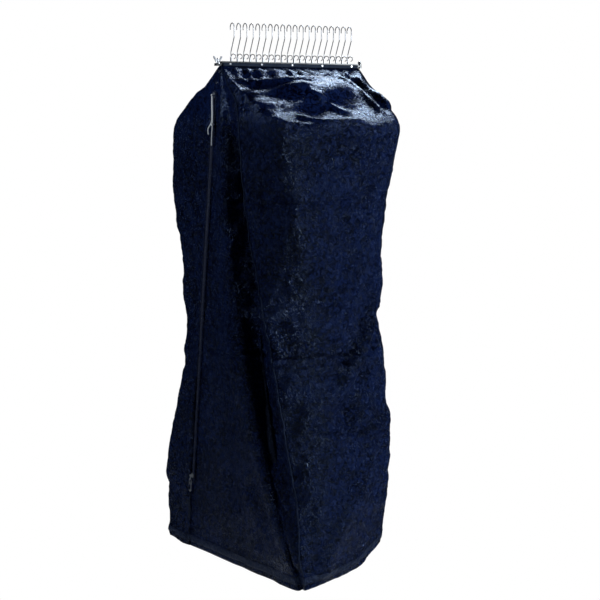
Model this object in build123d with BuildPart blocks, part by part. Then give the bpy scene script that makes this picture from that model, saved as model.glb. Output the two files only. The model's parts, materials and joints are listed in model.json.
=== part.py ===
"""A sample-carrying garment bag: a fabric bag under a bar clamp that grips twenty wire hangers.

The frame: the origin is on the axis of the rail that the hanger hooks go over. X runs along the
rail, Y across the shoulders of the garments and Z up. All lengths are in millimetres.
"""

import math
import os

from build123d import *

os.makedirs("parts", exist_ok=True)

# Driving dimensions
BAG_LENGTH = 416.0  # along the rail
BAG_WIDTH = 600.0  # across the shoulders
BAR_BOTTOM = -101.0  # height of the underside of the clamp bars
BAR_HEIGHT = 12.0
BAG_BOTTOM = -1467.0
SHOULDER_DROP = 152.0  # from the ridge to where the two shoulder lines meet the sides
FABRIC = 2.0  # coated cloth with its lining, taken together
HANGERS = 20
HANGER_PITCH = 18.7
RAIL_RADIUS = 9.5
CLEAR = 0.3  # between pieces that move past each other
RUNNING = 0.05  # radial play of a pin in its hole

# The bag's outline, seen along the rail
HALF_LENGTH = BAG_LENGTH / 2
HALF_WIDTH = BAG_WIDTH / 2
RIDGE_Z = BAR_BOTTOM - 0.5
RIDGE_HALF = 8.0
SHOULDER_Z = RIDGE_Z - SHOULDER_DROP
SHOULDER_RADIUS = 70.0
CORNER_RADIUS = 25.0
BOTTOM_SEAM_Y = HALF_WIDTH - CORNER_RADIUS - 10

# The clamp
BAR_THICK = 3.0
GRIP_THICK = 2.0
NECK_RADIUS = 2.3  # two wires twisted together
GRIP_BITE = 0.3  # how far the rubber of the back bar gives under a hanger neck
BAR_TOP = BAR_BOTTOM + BAR_HEIGHT
BACK_GRIP_Y = NECK_RADIUS - GRIP_BITE
FRONT_GRIP_Y = -(NECK_RADIUS + CLEAR)
BACK_BAR_Y = BACK_GRIP_Y + GRIP_THICK
FRONT_BAR_Y = FRONT_GRIP_Y - GRIP_THICK
BAR_LEFT = 1 - HALF_LENGTH
BAR_RIGHT = HALF_LENGTH - 1
PIN_X = BAR_RIGHT + 8.0
PIN_RADIUS = 2.5
KNUCKLE_RADIUS = 5.5
KNUCKLE_HEIGHT = 3.5
KNUCKLE_LAP = 2.0  # how far a knuckle's web runs onto its bar
STUD_X = BAR_LEFT - 9.0
STUD_RADIUS = 2.5
LUG_HALF = 7.0
LUG_THICK = 3.0
LUG_LAP = 6.0  # how far the stud's lug runs onto its bar
GRIP_LENGTH = BAG_LENGTH - 26.0
HEADER_LENGTH = BAG_LENGTH - 10.0
HEADER_HEIGHT = 9.0
RIVETS = 5
RIVET_PITCH = 92.0
RIVET_RADIUS = 1.6
RIVET_Z = BAR_BOTTOM + 5.0

# The zipper runs down the left end panel and leans to the back
ZIP_TOP_Y = 38.0
ZIP_TOP_Z = -165.0
ZIP_LENGTH = 1130.0
ZIP_LEAN = 9.2  # degrees from plumb
TAPE_HALF = 9.0
CHAIN_HALF = 3.0
CHAIN_THICK = 2.4
SLIDER_LENGTH = 14.0
UPPER_SLIDER_AT = 12.0  # from the top of the zipper to the middle of the slider
LOWER_SLIDER_AT = 1108.0
EYE_RADIUS = 0.9
EYE_OUT = 4.4  # from the slider's face to the axis of its eye

# The pull cord, hung double from the upper slider
CORD_DIAMETER = 3.2
KNOT_DROP = 78.0
KNOT_RADIUS = 5.5


def save(piece, name):
    """Labels a finished piece and writes its STEP file."""
    piece.part.label = name
    export_step(piece.part, f"parts/{name}.step")


def end_plane(x):
    """The plane seen along the rail at a given X: its own axes are the bag's Y and Z."""
    return Plane.YZ.offset(x)


def bag_outline():
    """The closed outline of the bag in its YZ plane: ridge, shoulders, sides and bottom."""
    path = FilletPolyline(
        (-RIDGE_HALF, RIDGE_Z),
        (-HALF_WIDTH, SHOULDER_Z),
        (-HALF_WIDTH, BAG_BOTTOM),
        (HALF_WIDTH, BAG_BOTTOM),
        (HALF_WIDTH, SHOULDER_Z),
        (RIDGE_HALF, RIDGE_Z),
        radius=[SHOULDER_RADIUS, CORNER_RADIUS, CORNER_RADIUS, SHOULDER_RADIUS],
    )
    Line(path @ 1, path @ 0)


# The zipper's own frame: x down the zipper, y towards the front of the bag, z out of the panel
zip_down = Vector(0, math.sin(math.radians(ZIP_LEAN)), -math.cos(math.radians(ZIP_LEAN)))
zip_out = Vector(-1, 0, 0)
zip_plane = Plane(origin=(-HALF_LENGTH, ZIP_TOP_Y, ZIP_TOP_Z), x_dir=zip_down, z_dir=zip_out)


def zip_point(along, across=0.0, out=0.0):
    """A point of the zipper's frame in the bag's frame."""
    return zip_plane.from_local_coords(Vector(along, across, out))


# ---------------------------------------------------------------- clamp, back half
with BuildPart() as back_clamp_bar:
    with BuildSketch(Plane.XY.offset(BAR_BOTTOM)):
        with Locations(((BAR_LEFT + BAR_RIGHT) / 2, BACK_BAR_Y + BAR_THICK / 2)):
            Rectangle(BAR_RIGHT - BAR_LEFT, BAR_THICK)
    extrude(amount=BAR_HEIGHT)
    # the lug under the stud, at the left end
    with BuildSketch(Plane.XY.offset(BAR_BOTTOM)):
        with BuildLine():
            Polyline(
                (BAR_LEFT + LUG_LAP, BACK_BAR_Y),
                (BAR_LEFT + LUG_LAP, BACK_BAR_Y + BAR_THICK),
                (STUD_X - LUG_HALF, BACK_BAR_Y + BAR_THICK),
                (STUD_X - LUG_HALF, -LUG_HALF),
                (STUD_X + LUG_HALF, -LUG_HALF),
                (STUD_X + LUG_HALF, BACK_BAR_Y),
                close=True,
            )
        make_face()
    extrude(amount=LUG_THICK)
    with Locations((STUD_X, 0, BAR_BOTTOM + LUG_THICK / 2)):
        Cylinder(STUD_RADIUS, LUG_THICK + 1, mode=Mode.SUBTRACT)
    # the upper and lower knuckles, at the right end
    for knuckle_bottom in (BAR_BOTTOM, BAR_TOP - KNUCKLE_HEIGHT):
        with BuildSketch(Plane.XY.offset(knuckle_bottom)):
            with Locations((PIN_X, 0)):
                Circle(KNUCKLE_RADIUS)
            with Locations(((BAR_RIGHT - KNUCKLE_LAP + PIN_X) / 2, BACK_BAR_Y + BAR_THICK / 2)):
                Rectangle(PIN_X - BAR_RIGHT + KNUCKLE_LAP, BAR_THICK)
        extrude(amount=KNUCKLE_HEIGHT)
    with Locations((PIN_X, 0, (BAR_BOTTOM + BAR_TOP) / 2)):
        Cylinder(PIN_RADIUS, BAR_HEIGHT + 1, mode=Mode.SUBTRACT)
    with BuildSketch(Plane.XZ.offset(-(BACK_BAR_Y + BAR_THICK))):
        with Locations((0, RIVET_Z)):
            with GridLocations(RIVET_PITCH, 1, RIVETS, 1):
                Circle(RIVET_RADIUS)
    extrude(amount=BAR_THICK, mode=Mode.SUBTRACT)
save(back_clamp_bar, "back_clamp_bar")

with BuildPart() as back_grip_strip:
    with BuildSketch(Plane.XY.offset(BAR_BOTTOM)):
        with Locations((0, BACK_GRIP_Y + GRIP_THICK / 2)):
            Rectangle(GRIP_LENGTH, GRIP_THICK)
    extrude(amount=BAR_HEIGHT)
save(back_grip_strip, "back_grip_strip")

with BuildPart() as back_header:
    with BuildSketch(Plane.XY.offset(BAR_BOTTOM)):
        with Locations((0, BACK_BAR_Y + BAR_THICK + FABRIC / 2)):
            Rectangle(HEADER_LENGTH, FABRIC)
    extrude(amount=HEADER_HEIGHT)
    with BuildSketch(Plane.XZ.offset(-(BACK_BAR_Y + BAR_THICK + FABRIC))):
        with Locations((0, RIVET_Z)):
            with GridLocations(RIVET_PITCH, 1, RIVETS, 1):
                Circle(RIVET_RADIUS)
    extrude(amount=FABRIC, mode=Mode.SUBTRACT)
save(back_header, "back_header")

RIVET_HEAD = 1.2
with BuildPart() as back_rivets:
    with BuildSketch(Plane.XZ.offset(-BACK_BAR_Y)):
        with Locations((0, RIVET_Z)):
            with GridLocations(RIVET_PITCH, 1, RIVETS, 1):
                Circle(RIVET_RADIUS)
    extrude(amount=-(BAR_THICK + FABRIC))
    with BuildSketch(Plane.XZ.offset(-(BACK_BAR_Y + BAR_THICK + FABRIC))):
        with Locations((0, RIVET_Z)):
            with GridLocations(RIVET_PITCH, 1, RIVETS, 1):
                Circle(2 * RIVET_RADIUS)
    extrude(amount=-RIVET_HEAD, taper=30)
save(back_rivets, "back_rivets")

# ---------------------------------------------------------------- clamp, front half
WEB_BOTTOM = BAR_BOTTOM + KNUCKLE_HEIGHT + CLEAR
WEB_HEIGHT = BAR_HEIGHT - 2 * (KNUCKLE_HEIGHT + CLEAR)
TONGUE_BOTTOM = BAR_BOTTOM + LUG_THICK + CLEAR
TONGUE_BACK = LUG_HALF
SLOT_HALF = STUD_RADIUS + CLEAR
with BuildPart() as front_clamp_bar:
    with BuildSketch(Plane.XY.offset(BAR_BOTTOM)):
        with Locations(((BAR_LEFT + BAR_RIGHT) / 2, FRONT_BAR_Y - BAR_THICK / 2)):
            Rectangle(BAR_RIGHT - BAR_LEFT, BAR_THICK)
    extrude(amount=BAR_HEIGHT)
    # the slotted tongue that closes over the stud
    with BuildSketch(Plane.XY.offset(TONGUE_BOTTOM)):
        with BuildLine():
            Polyline(
                (BAR_LEFT + LUG_LAP, FRONT_BAR_Y),
                (BAR_LEFT + LUG_LAP, FRONT_BAR_Y - BAR_THICK),
                (STUD_X - LUG_HALF, FRONT_BAR_Y - BAR_THICK),
                (STUD_X - LUG_HALF, TONGUE_BACK),
                (STUD_X + LUG_HALF, TONGUE_BACK),
                (STUD_X + LUG_HALF, FRONT_BAR_Y),
                close=True,
            )
        make_face()
        with Locations((STUD_X, 0)):
            Circle(SLOT_HALF, mode=Mode.SUBTRACT)
        with Locations((STUD_X, TONGUE_BACK / 2)):
            Rectangle(2 * SLOT_HALF, TONGUE_BACK, mode=Mode.SUBTRACT)
    extrude(amount=LUG_THICK)
    # the middle knuckle
    with BuildSketch(Plane.XY.offset(WEB_BOTTOM)):
        with Locations((PIN_X, 0)):
            Circle(KNUCKLE_RADIUS)
        with Locations(((BAR_RIGHT - KNUCKLE_LAP + PIN_X) / 2, FRONT_BAR_Y - BAR_THICK / 2)):
            Rectangle(PIN_X - BAR_RIGHT + KNUCKLE_LAP, BAR_THICK)
    extrude(amount=WEB_HEIGHT)
    with Locations((PIN_X, 0, (BAR_BOTTOM + BAR_TOP) / 2)):
        Cylinder(PIN_RADIUS + RUNNING, BAR_HEIGHT + 1, mode=Mode.SUBTRACT)
    with BuildSketch(Plane.XZ.offset(-FRONT_BAR_Y)):
        with Locations((0, RIVET_Z)):
            with GridLocations(RIVET_PITCH, 1, RIVETS, 1):
                Circle(RIVET_RADIUS)
    extrude(amount=BAR_THICK, mode=Mode.SUBTRACT)
save(front_clamp_bar, "front_clamp_bar")

with BuildPart() as front_grip_strip:
    with BuildSketch(Plane.XY.offset(BAR_BOTTOM)):
        with Locations((0, FRONT_GRIP_Y - GRIP_THICK / 2)):
            Rectangle(GRIP_LENGTH, GRIP_THICK)
    extrude(amount=BAR_HEIGHT)
save(front_grip_strip, "front_grip_strip")

with BuildPart() as front_header:
    with BuildSketch(Plane.XY.offset(BAR_BOTTOM)):
        with Locations((0, FRONT_BAR_Y - BAR_THICK - FABRIC / 2)):
            Rectangle(HEADER_LENGTH, FABRIC)
    extrude(amount=HEADER_HEIGHT)
    with BuildSketch(Plane.XZ.offset(-(FRONT_BAR_Y - BAR_THICK))):
        with Locations((0, RIVET_Z)):
            with GridLocations(RIVET_PITCH, 1, RIVETS, 1):
                Circle(RIVET_RADIUS)
    extrude(amount=FABRIC, mode=Mode.SUBTRACT)
save(front_header, "front_header")

with BuildPart() as front_rivets:
    with BuildSketch(Plane.XZ.offset(-FRONT_BAR_Y)):
        with Locations((0, RIVET_Z)):
            with GridLocations(RIVET_PITCH, 1, RIVETS, 1):
                Circle(RIVET_RADIUS)
    extrude(amount=BAR_THICK + FABRIC)
    with BuildSketch(Plane.XZ.offset(-(FRONT_BAR_Y - BAR_THICK - FABRIC))):
        with Locations((0, RIVET_Z)):
            with GridLocations(RIVET_PITCH, 1, RIVETS, 1):
                Circle(2 * RIVET_RADIUS)
    extrude(amount=RIVET_HEAD, taper=30)
save(front_rivets, "front_rivets")

# ---------------------------------------------------------------- hinge pin, stud and wing nut
BALL_RADIUS = 4.7
BALL_RISE = 3.5  # from the upper knuckle to the ball's middle
with BuildPart() as hinge_pin:
    with Locations((PIN_X, 0, (BAR_BOTTOM + BAR_TOP) / 2)):
        Cylinder(PIN_RADIUS, BAR_HEIGHT)
    with Locations((PIN_X, 0, BAR_TOP + BALL_RISE)):
        Sphere(BALL_RADIUS)
    # the ball's foot is flat, and sits on the upper knuckle
    with Locations((PIN_X, 0, BAR_TOP - BALL_RADIUS / 2)):
        Cylinder(KNUCKLE_RADIUS, BALL_RADIUS, mode=Mode.SUBTRACT)
    with Locations((PIN_X, 0, (BAR_BOTTOM + BAR_TOP) / 2)):
        Cylinder(PIN_RADIUS, BAR_HEIGHT)
save(hinge_pin, "hinge_pin")

STUD_TOP = BAR_TOP + 8.0  # clear above the closed nut
with BuildPart() as clamp_stud:
    with BuildSketch(Plane.XY.offset(BAR_BOTTOM)):
        with Locations((STUD_X, 0)):
            Circle(STUD_RADIUS)
    extrude(amount=STUD_TOP - BAR_BOTTOM)
save(clamp_stud, "clamp_stud")

WASHER_BOTTOM = TONGUE_BOTTOM + LUG_THICK + CLEAR
WASHER_THICK = 1.0
WASHER_RADIUS = 6.0
with BuildPart() as clamp_washer:
    with BuildSketch(Plane.XY.offset(WASHER_BOTTOM)):
        with Locations((STUD_X, 0)):
            Circle(WASHER_RADIUS)
            Circle(STUD_RADIUS, mode=Mode.SUBTRACT)
    extrude(amount=WASHER_THICK)
save(clamp_washer, "clamp_washer")

NUT_BOTTOM = WASHER_BOTTOM + WASHER_THICK + CLEAR
NUT_HUB_TOP = NUT_BOTTOM + 8.5
NUT_HUB_RADIUS = 4.2
NUT_HUB_TAPER = 4.0
WING_TOP = NUT_BOTTOM + 17.0
WING_REACH = 12.5  # from the stud's axis to the tip of a wing
WING_ROOT = NUT_HUB_RADIUS - 1.2  # where a wing starts, inside the hub
WING_HALF_THICK = 1.1
with BuildPart() as wing_nut:
    with BuildSketch(Plane.XZ):
        for side in (-1, 1):
            with BuildLine():
                Polyline(
                    (STUD_X + side * WING_ROOT, NUT_BOTTOM + 1.0),
                    (STUD_X + side * (NUT_HUB_RADIUS + 0.5), NUT_BOTTOM + 1.0),
                    (STUD_X + side * 8.0, NUT_BOTTOM + 6.0),
                    (STUD_X + side * WING_REACH, WING_TOP - 4.0),
                    (STUD_X + side * WING_REACH, WING_TOP),
                    (STUD_X + side * (WING_REACH - 3.5), WING_TOP),
                    (STUD_X + side * (NUT_HUB_RADIUS + 0.5), NUT_HUB_TOP),
                    (STUD_X + side * WING_ROOT, NUT_HUB_TOP),
                    close=True,
                )
            make_face()
    extrude(amount=WING_HALF_THICK, both=True)
    with BuildSketch(Plane.XY.offset(NUT_BOTTOM)):
        with Locations((STUD_X, 0)):
            Circle(NUT_HUB_RADIUS)
    extrude(amount=NUT_HUB_TOP - NUT_BOTTOM, taper=NUT_HUB_TAPER)
    with Locations((STUD_X, 0, (NUT_BOTTOM + WING_TOP) / 2)):
        Cylinder(STUD_RADIUS + RUNNING, 2 * (WING_TOP - NUT_BOTTOM), mode=Mode.SUBTRACT)
save(wing_nut, "wing_nut")

# ---------------------------------------------------------------- hangers
WIRE_RADIUS = 1.2
HOOK_RADIUS = 12.0
HOOK_TIP = 0.35  # radians that the hook's tip comes down past the rail's middle
HOOK_LEAN = 4.0  # the hooks lean this far along the rail
HOOK_Z = RAIL_RADIUS + WIRE_RADIUS - HOOK_RADIUS
NECK_TOP = BAR_TOP + 11.0
NECK_BOTTOM = BAR_BOTTOM - 16.0
CURL_RADIUS = 6.2
CURL_ARC = 260.0
CURL_OFFSET = 1.0  # from the neck's axis to the curl's first turn
CURL_WIRE = 1.1
CURL_TURN = 45.0  # the curl's plane is turned this far from the rail towards the front
FRAME_TUCK = 4.0  # how far the triangle's two ends run up into the neck
FRAME_SPREAD = 0.6  # half the distance between those two ends
HANGER_HALF = 205.0
HANGER_SHOULDER_Z = -226.0
HANGER_BEND = 5.0


# One wire hanger at the middle of the clamp: hook, curl, twisted neck and the garment's triangle
curl_out = Vector(math.cos(math.radians(CURL_TURN)), -math.sin(math.radians(CURL_TURN)), 0)
curl_centre = Vector(0, 0, NECK_TOP + 2) + curl_out * (CURL_RADIUS + CURL_OFFSET)
with BuildPart() as hanger_pattern:
    with BuildSketch(Plane.XY.offset(NECK_BOTTOM)):
        Circle(NECK_RADIUS)
    extrude(amount=NECK_TOP - NECK_BOTTOM)
    # the hook: up from the neck, leaning to the front, and over the rail
    with BuildLine() as hook_path:
        shaft = FilletPolyline(
            (0, 0, NECK_TOP - 3),
            (0, 0, NECK_TOP + 14),
            (HOOK_LEAN, -HOOK_RADIUS, -26),
            (HOOK_LEAN, -HOOK_RADIUS, HOOK_Z),
            radius=[12, 12],
        )
        ThreePointArc(
            shaft @ 1,
            (HOOK_LEAN, 0, HOOK_Z + HOOK_RADIUS),
            (
                HOOK_LEAN,
                HOOK_RADIUS * math.cos(HOOK_TIP),
                HOOK_Z - HOOK_RADIUS * math.sin(HOOK_TIP),
            ),
        )
    with BuildSketch(Plane(origin=shaft @ 0, z_dir=shaft % 0)):
        Circle(WIRE_RADIUS)
    sweep(path=hook_path.line)
    # the triangle, whose two ends are twisted into the neck
    with BuildLine(Plane.YZ) as frame_path:
        FilletPolyline(
            (-FRAME_SPREAD, NECK_BOTTOM + FRAME_TUCK),
            (-HANGER_HALF, HANGER_SHOULDER_Z),
            (HANGER_HALF, HANGER_SHOULDER_Z),
            (FRAME_SPREAD, NECK_BOTTOM + FRAME_TUCK),
            radius=[HANGER_BEND, HANGER_BEND],
        )
    with BuildSketch(Plane(origin=frame_path.line @ 0, z_dir=frame_path.line % 0)):
        Circle(WIRE_RADIUS)
    sweep(path=frame_path.line)
    # the curl beside the neck
    with BuildSketch(Plane(origin=curl_centre - curl_out * CURL_RADIUS, z_dir=(0, 0, 1))):
        Circle(CURL_WIRE)
    revolve(axis=Axis(curl_centre, Vector(0, 0, 1).cross(curl_out)), revolution_arc=CURL_ARC)

for index in range(HANGERS):
    hanger_x = (index - (HANGERS - 1) / 2) * HANGER_PITCH
    with BuildPart() as hanger:
        with Locations((hanger_x, 0, 0)):
            add(hanger_pattern.part)
    save(hanger, f"hanger_{index + 1:02d}")

# ---------------------------------------------------------------- bag panels
INNER_LENGTH = BAG_LENGTH - 2 * FABRIC


def build_gusset(side, name):
    """The strip that forms one shoulder, one side and one bottom corner: side -1 front, 1 back."""
    with BuildPart() as gusset:
        with BuildSketch(end_plane(-INNER_LENGTH / 2)):
            with BuildLine():
                bag_outline()
            make_face()
            offset(amount=-FABRIC, kind=Kind.INTERSECTION, mode=Mode.SUBTRACT)
            # the slot at the ridge, the other side and the flat bottom are other pieces
            with Locations((0, RIDGE_Z)):
                Rectangle(2 * RIDGE_HALF - 2, 4 * FABRIC, mode=Mode.SUBTRACT)
            with Locations((-side * HALF_WIDTH, (RIDGE_Z + BAG_BOTTOM) / 2)):
                Rectangle(BAG_WIDTH, 1.1 * (RIDGE_Z - BAG_BOTTOM), mode=Mode.SUBTRACT)
            with Locations((0, BAG_BOTTOM)):
                Rectangle(2 * BOTTOM_SEAM_Y, 4 * FABRIC, mode=Mode.SUBTRACT)
        extrude(amount=INNER_LENGTH)
    save(gusset, name)


build_gusset(-1, "front_gusset")
build_gusset(1, "back_gusset")

with BuildPart() as bottom_panel:
    with BuildSketch(Plane.XY.offset(BAG_BOTTOM)):
        Rectangle(INNER_LENGTH, 2 * BOTTOM_SEAM_Y)
    extrude(amount=FABRIC)
save(bottom_panel, "bottom_panel")

with BuildPart() as right_end_panel:
    with BuildSketch(end_plane(HALF_LENGTH - FABRIC)):
        with BuildLine():
            bag_outline()
        make_face()
    extrude(amount=FABRIC)
save(right_end_panel, "right_end_panel")

# The left end panel is split from the ridge to the top of the zipper, along it, and down to the hem
SPLIT_REACH = 2 * BAG_WIDTH
zip_bottom = zip_point(ZIP_LENGTH)
seam_bottom = zip_point((ZIP_TOP_Z - BAG_BOTTOM + 20) / math.cos(math.radians(ZIP_LEAN)))


def build_left_half(side, name):
    """One half of the left end panel: side -1 is the front half and 1 the back half."""
    zip_edge_top = zip_point(0, -side * TAPE_HALF)
    zip_edge_bottom = zip_point(ZIP_LENGTH, -side * TAPE_HALF)
    with BuildPart() as half:
        with BuildSketch(end_plane(-HALF_LENGTH)):
            with BuildLine():
                bag_outline()
            make_face()
            with BuildLine():
                Polyline(
                    (0, RIDGE_Z + 20),
                    (0, RIDGE_Z - 6),
                    (zip_point(0).Y, zip_point(0).Z),
                    (zip_edge_top.Y, zip_edge_top.Z),
                    (zip_edge_bottom.Y, zip_edge_bottom.Z),
                    (zip_bottom.Y, zip_bottom.Z),
                    (seam_bottom.Y, seam_bottom.Z),
                    (side * SPLIT_REACH, seam_bottom.Z),
                    (side * SPLIT_REACH, RIDGE_Z + 20),
                    close=True,
                )
            make_face(mode=Mode.INTERSECT)
        extrude(amount=FABRIC)
    save(half, name)


build_left_half(-1, "left_panel_front")
build_left_half(1, "left_panel_back")

PIPING = 2.0
PIPING_WIDTH = 4.0
HEM_BOTTOM = BAG_BOTTOM + CORNER_RADIUS + 2
HEM_HEIGHT = 20.0
HEM_THICK = 1.0


def build_piping(x, name):
    """The welt along the edge of an end panel, down to the hem band."""
    with BuildPart() as piping:
        with BuildSketch(end_plane(x)):
            with BuildLine():
                bag_outline()
            make_face()
            offset(amount=PIPING, kind=Kind.INTERSECTION)
            with BuildLine():
                bag_outline()
            make_face(mode=Mode.SUBTRACT)
            with Locations((0, RIDGE_Z)):
                Rectangle(4 * RIDGE_HALF, 6 * PIPING, mode=Mode.SUBTRACT)
            with Locations((0, BAG_BOTTOM)):
                Rectangle(
                    2 * BAG_WIDTH, 2 * (HEM_BOTTOM + HEM_HEIGHT - BAG_BOTTOM), mode=Mode.SUBTRACT
                )
        extrude(amount=PIPING_WIDTH)
    save(piping, name)


build_piping(-HALF_LENGTH, "left_piping")
build_piping(HALF_LENGTH - PIPING_WIDTH, "right_piping")

with BuildPart() as hem_band:
    with BuildSketch(Plane.XY.offset(HEM_BOTTOM)):
        Rectangle(BAG_LENGTH + 2 * HEM_THICK, BAG_WIDTH + 2 * HEM_THICK)
        Rectangle(BAG_LENGTH, BAG_WIDTH, mode=Mode.SUBTRACT)
    extrude(amount=HEM_HEIGHT)
save(hem_band, "hem_band")

# ---------------------------------------------------------------- zipper
TAPE_THICK = 1.0
TAPE_BACK = -1.5  # the tape's inner face, from the panel's outer face


def build_tape(side, name):
    """One woven tape, between the edge of its half panel and the chain."""
    with BuildPart() as tape:
        with BuildSketch(zip_plane.offset(TAPE_BACK)):
            with Locations((ZIP_LENGTH / 2, -side * (TAPE_HALF + CHAIN_HALF) / 2)):
                Rectangle(ZIP_LENGTH, TAPE_HALF - CHAIN_HALF)
        extrude(amount=TAPE_THICK)
    save(tape, name)


build_tape(-1, "zipper_tape_front")
build_tape(1, "zipper_tape_back")

STOP_LENGTH = 4.0
STOP_PROUD = 1.0  # how far a stop stands above the chain
CHAIN_BACK = -2.0  # the chain's inner face, from the panel's outer face
with BuildPart() as zipper_chain:
    with BuildSketch(zip_plane.offset(CHAIN_BACK)):
        with Locations((ZIP_LENGTH / 2, 0)):
            Rectangle(ZIP_LENGTH - 2 * STOP_LENGTH, 2 * CHAIN_HALF)
    extrude(amount=CHAIN_THICK)
save(zipper_chain, "zipper_chain")

for stop_name, stop_at in (
    ("zipper_top_stop", STOP_LENGTH / 2),
    ("zipper_bottom_stop", ZIP_LENGTH - STOP_LENGTH / 2),
):
    with BuildPart() as stop:
        with BuildSketch(zip_plane.offset(CHAIN_BACK)):
            with Locations((stop_at, 0)):
                Rectangle(STOP_LENGTH, 2 * CHAIN_HALF)
        extrude(amount=CHAIN_THICK + STOP_PROUD)
    save(stop, stop_name)

SLIDER_FACE = CHAIN_BACK + CHAIN_THICK + CLEAR  # the inner face of the slider's outer plate
SLIDER_THICK = 1.8
SLIDER_WIDTH = 12.0
SLIDER_CORNER = 3.0
EYE_Z = SLIDER_FACE + SLIDER_THICK + EYE_OUT
LUG_FOOT = SLIDER_FACE + 1.0  # inside the plate
EYE_LUG_RADIUS = 2.0
LUG_GAP = 3.6  # from the slider's middle to the inner face of each lug
LUG_WIDE = 1.4


def build_slider(at, name):
    """A slider plate with two lugs and the cross pin that its pull hangs on."""
    with BuildPart() as slider:
        with BuildSketch(zip_plane.offset(SLIDER_FACE)):
            with Locations((at, 0)):
                RectangleRounded(SLIDER_LENGTH, SLIDER_WIDTH, SLIDER_CORNER)
        extrude(amount=SLIDER_THICK)
        for side in (-1, 1):
            lug_plane = Plane(
                origin=zip_point(at, side * (LUG_GAP + LUG_WIDE / 2), LUG_FOOT),
                x_dir=zip_down,
                z_dir=zip_plane.y_dir,
            )
            with BuildSketch(lug_plane):
                with Locations((0, -(EYE_Z - LUG_FOOT) / 2)):
                    Rectangle(2 * EYE_LUG_RADIUS, EYE_Z - LUG_FOOT)
                with Locations((0, -(EYE_Z - LUG_FOOT))):
                    Circle(EYE_LUG_RADIUS)
            extrude(amount=LUG_WIDE / 2, both=True)
        with BuildSketch(Plane(origin=zip_point(at, 0, EYE_Z), z_dir=zip_plane.y_dir)):
            Circle(EYE_RADIUS)
        extrude(amount=LUG_GAP + LUG_WIDE / 2, both=True)
    save(slider, name)


build_slider(UPPER_SLIDER_AT, "upper_slider")
build_slider(LOWER_SLIDER_AT, "lower_slider")

TAB_WIDTH = 16.0
TAB_LENGTH = 40.0
TAB_RIM = 3.0
TAB_THICK = 1.6
TAB_CORNER = 7.0
TAB_START = LOWER_SLIDER_AT + 8.0  # the ring's upper edge, along the zipper
BARREL_RADIUS = 2.0
BARREL_HALF = LUG_GAP - CLEAR
with BuildPart() as pull_tab:
    with BuildSketch(zip_plane.offset(EYE_Z - TAB_THICK / 2)):
        with Locations((TAB_START + TAB_LENGTH / 2, 0)):
            RectangleRounded(TAB_LENGTH, TAB_WIDTH, TAB_CORNER)
            RectangleRounded(
                TAB_LENGTH - 2 * TAB_RIM,
                TAB_WIDTH - 2 * TAB_RIM,
                TAB_CORNER - TAB_RIM,
                mode=Mode.SUBTRACT,
            )
        with Locations(((LOWER_SLIDER_AT + TAB_START + 1) / 2, 0)):
            Rectangle(TAB_START + 1 - LOWER_SLIDER_AT, 2 * BARREL_HALF)
    extrude(amount=TAB_THICK)
    with BuildSketch(Plane(origin=zip_point(LOWER_SLIDER_AT, 0, EYE_Z), z_dir=zip_plane.y_dir)):
        Circle(BARREL_RADIUS)
    extrude(amount=BARREL_HALF, both=True)
    with BuildSketch(Plane(origin=zip_point(LOWER_SLIDER_AT, 0, EYE_Z), z_dir=zip_plane.y_dir)):
        Circle(EYE_RADIUS + RUNNING)
    extrude(amount=BARREL_HALF + 1, both=True, mode=Mode.SUBTRACT)
save(pull_tab, "pull_tab")

# ---------------------------------------------------------------- flap and snaps over the zipper's top
FLAP_HALF = 16.0
FLAP_THICK = 1.0
FLAP_LEAN = math.degrees(math.atan2(ZIP_TOP_Y, RIDGE_Z - ZIP_TOP_Z))
FLAP_TOP = 5.0  # along the flap, from the ridge, to its narrow upper edge
FLAP_TOP_HALF = 7.0
FLAP_WIDE_AT = 24.0  # along the flap to where it reaches its full width
FLAP_END = 60.0
FLAP_CORNER = 5.0
flap_down = Vector(0, math.sin(math.radians(FLAP_LEAN)), -math.cos(math.radians(FLAP_LEAN)))
flap_top = (-HALF_LENGTH, 2.0, RIDGE_Z - 2.5)
flap_plane = Plane(origin=flap_top, x_dir=flap_down, z_dir=zip_out)
SNAP_RADIUS = 4.2
SNAP_BARREL = 1.5
SNAP_CAP = 1.6
SNAP_ALONG = (12.0, 46.0)
with BuildPart() as top_flap:
    with BuildSketch(flap_plane) as flap_shape:
        with BuildLine():
            Polyline(
                (FLAP_TOP, -FLAP_TOP_HALF),
                (FLAP_WIDE_AT, -FLAP_HALF),
                (FLAP_END, -FLAP_HALF),
                (FLAP_END, FLAP_HALF),
                (FLAP_WIDE_AT, FLAP_HALF),
                (FLAP_TOP, FLAP_TOP_HALF),
                close=True,
            )
        make_face()
        fillet(flap_shape.vertices(), radius=FLAP_CORNER)
        with Locations([(along, 0) for along in SNAP_ALONG]):
            Circle(SNAP_BARREL, mode=Mode.SUBTRACT)
    extrude(amount=FLAP_THICK)
save(top_flap, "top_flap")

with BuildPart() as snap_caps:
    with BuildSketch(flap_plane):
        with Locations([(along, 0) for along in SNAP_ALONG]):
            Circle(SNAP_BARREL)
    extrude(amount=FLAP_THICK)
    with BuildSketch(flap_plane.offset(FLAP_THICK)):
        with Locations([(along, 0) for along in SNAP_ALONG]):
            Circle(SNAP_RADIUS)
    extrude(amount=SNAP_CAP, taper=35)
save(snap_caps, "snap_caps")

# ---------------------------------------------------------------- pull cord
eye = zip_point(UPPER_SLIDER_AT, 0, EYE_Z)
WRAP_RADIUS = 3.3
WRAP_HALF = LUG_GAP - CLEAR
KNOT_OFFSET = (-0.3, 0.4)  # from the eye, in X and Y
with BuildPart() as cord_wrap:
    with BuildSketch(Plane(origin=eye, z_dir=zip_plane.y_dir)):
        Circle(WRAP_RADIUS)
        Circle(EYE_RADIUS + RUNNING, mode=Mode.SUBTRACT)
    extrude(amount=WRAP_HALF, both=True)
save(cord_wrap, "cord_wrap")

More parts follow.
